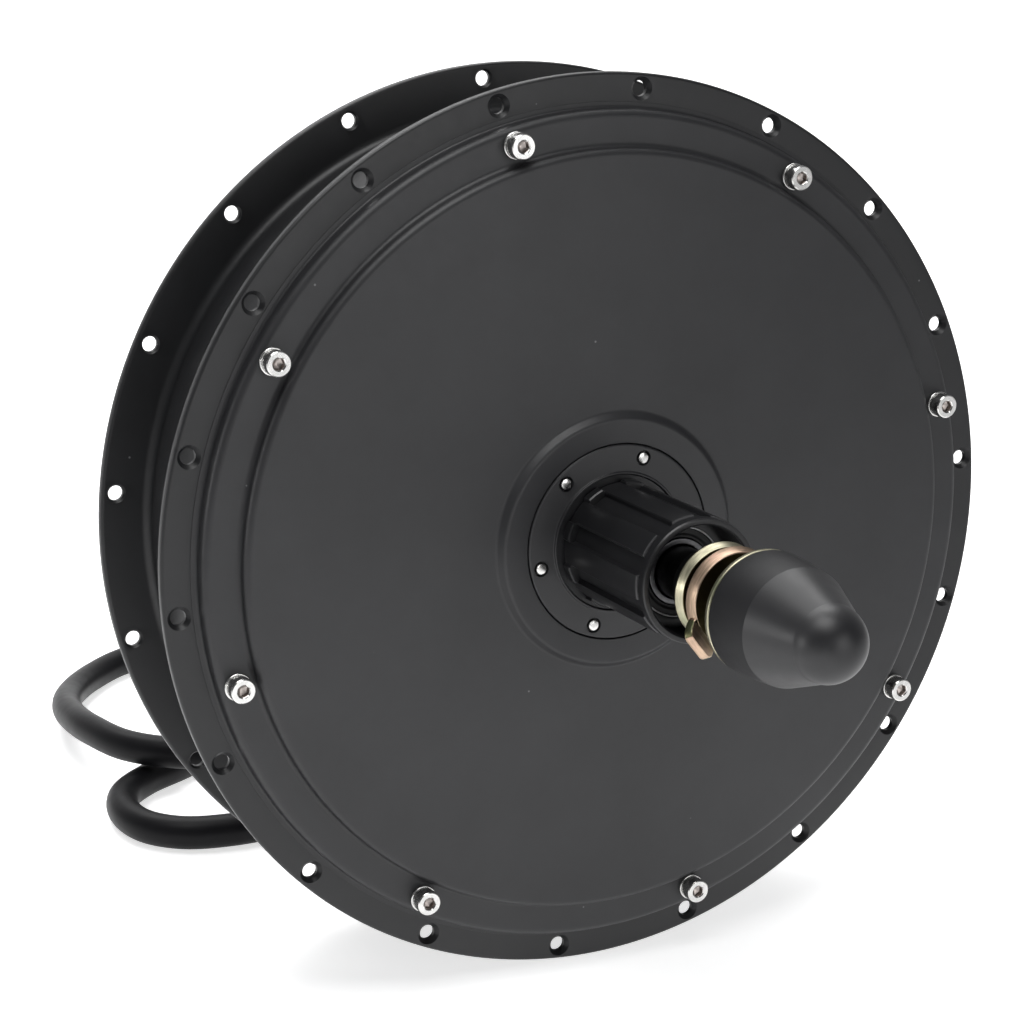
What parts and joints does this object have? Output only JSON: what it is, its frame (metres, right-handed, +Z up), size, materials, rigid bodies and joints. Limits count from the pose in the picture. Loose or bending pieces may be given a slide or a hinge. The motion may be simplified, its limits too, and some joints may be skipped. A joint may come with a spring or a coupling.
{
  "type": "hub motor wheel",
  "caption": "Direct drive rear hub motor with spoke flanges, stepped covers, splined cassette freehub, flatted axle, capped axle nut and a thick motor cable.",
  "frame": {"origin": "on the axle axis, midway between the two spoke flanges", "axes": "+Y along the axle towards the brake side and the cable, +Z up, +X to the right seen from the drive side"},
  "size_m": [0.2578, 0.4628, 0.2578],
  "materials": {
    "black_aluminium": "satin black anodised",
    "black_steel": "satin black",
    "bright_steel": "polished",
    "bearing_steel": "ground",
    "lamination_steel": "stacked laminations",
    "magnet": "nickel plated",
    "copper": "enamelled copper wire",
    "circuit_board": "solder mask",
    "axle_steel": "black oxide",
    "yellow_zinc": "yellow zinc passivated",
    "black_rubber": "satin",
    "black_plastic": "moulded"
  },
  "bodies": {
    "axle_stator": {"axle": "axle_steel", "axle_spacer": "axle_steel", "brake_axle_nut": "yellow_zinc", "brake_bearing_inner_ring": "bearing_steel", "brake_tab_washer": "yellow_zinc", "brake_washer": "yellow_zinc", "drive_axle_cap": "black_rubber", "drive_axle_nut": "yellow_zinc", "drive_bearing_inner_ring": "bearing_steel", "drive_tab_washer": "yellow_zinc", "drive_washer": "yellow_zinc", "freehub_bearing_inner_ring": "bearing_steel", "hall_board": "circuit_board", "motor_cable": "black_rubber", "plug_body": "black_plastic", "plug_contacts": "bright_steel", "stator_carrier": "black_aluminium", "stator_core": "lamination_steel", "stator_winding": "copper", "strain_relief": "black_rubber"},
    "rotor": {"back_iron_ring": "bearing_steel", "brake_bearing_outer_ring": "bearing_steel", "brake_cover": "black_aluminium", "brake_screw_1": "bright_steel", "brake_screw_2": "bright_steel", "brake_screw_3": "bright_steel", "brake_screw_4": "bright_steel", "brake_screw_5": "bright_steel", "brake_screw_6": "bright_steel", "brake_screw_7": "bright_steel", "brake_screw_8": "bright_steel", "brake_shaft_seal": "black_rubber", "drive_bearing_outer_ring": "bearing_steel", "drive_cover": "black_aluminium", "drive_screw_1": "bright_steel", "drive_screw_2": "bright_steel", "drive_screw_3": "bright_steel", "drive_screw_4": "bright_steel", "drive_screw_5": "bright_steel", "drive_screw_6": "bright_steel", "drive_screw_7": "bright_steel", "drive_screw_8": "bright_steel", "drive_shaft_seal": "black_rubber", "freehub_base": "black_steel", "freehub_pin_1": "bright_steel", "freehub_pin_2": "bright_steel", "freehub_pin_3": "bright_steel", "freehub_pin_4": "bright_steel", "freehub_pin_5": "bright_steel", "freehub_pin_6": "bright_steel", "hub_shell": "black_aluminium", "magnet_ring": "magnet"},
    "freehub": {"freehub_shell": "black_steel", "freehub_bearing_outer_ring": "bearing_steel", "freehub_bearing_shield": "black_rubber"}
  },
  "joints": [
    {"name": "wheel_spin", "type": "hinge", "parent": "axle_stator", "child": "rotor", "pos_m": [0, 0, 0], "axis": [0, 1, 0], "continuous": true},
    {"name": "freehub_spin", "type": "hinge", "parent": "rotor", "child": "freehub", "pos_m": [0, 0, 0], "axis": [0, 1, 0], "continuous": true}
  ]
}
